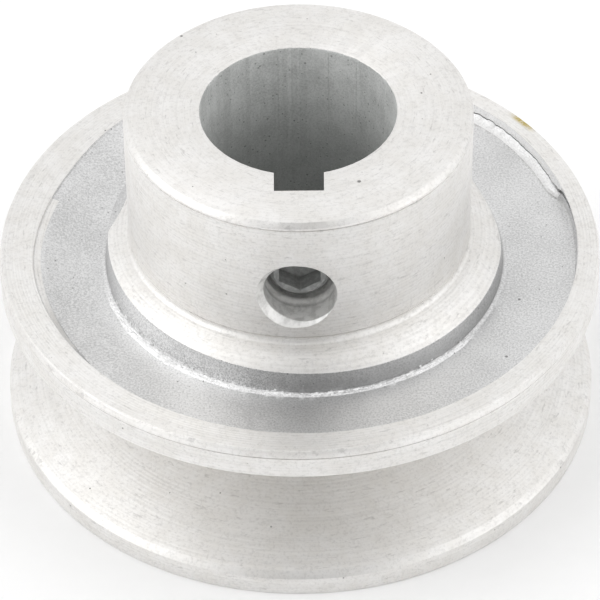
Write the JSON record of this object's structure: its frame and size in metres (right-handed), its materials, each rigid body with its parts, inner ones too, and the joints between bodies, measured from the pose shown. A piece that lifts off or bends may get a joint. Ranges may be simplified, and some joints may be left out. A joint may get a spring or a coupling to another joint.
{
  "type": "v belt pulley",
  "caption": "Machined cast-aluminium V-belt pulley with one belt groove, a long hub, a keyed bore and a set screw in the hub.",
  "frame": {"origin": "on the pulley's axis in the plane of the lower rim face, at the bottom centre of the bounding box", "axes": "+Z along the axis towards the hub's nose; -Y towards the keyway and the set screw"},
  "size_m": [0.06, 0.06, 0.0365],
  "materials": {
    "machined_aluminium": "turned satin with as-cast recess",
    "black_steel": "black oxide"
  },
  "bodies": {
    "pulley": {"pulley_body": "machined_aluminium"},
    "screw": {"set_screw": "black_steel"}
  },
  "joints": [
    {"name": "set_screw_travel", "type": "slide", "parent": "pulley", "child": "screw", "axis": [0, -1, 0], "range_m": [0, 0.0033]}
  ]
}
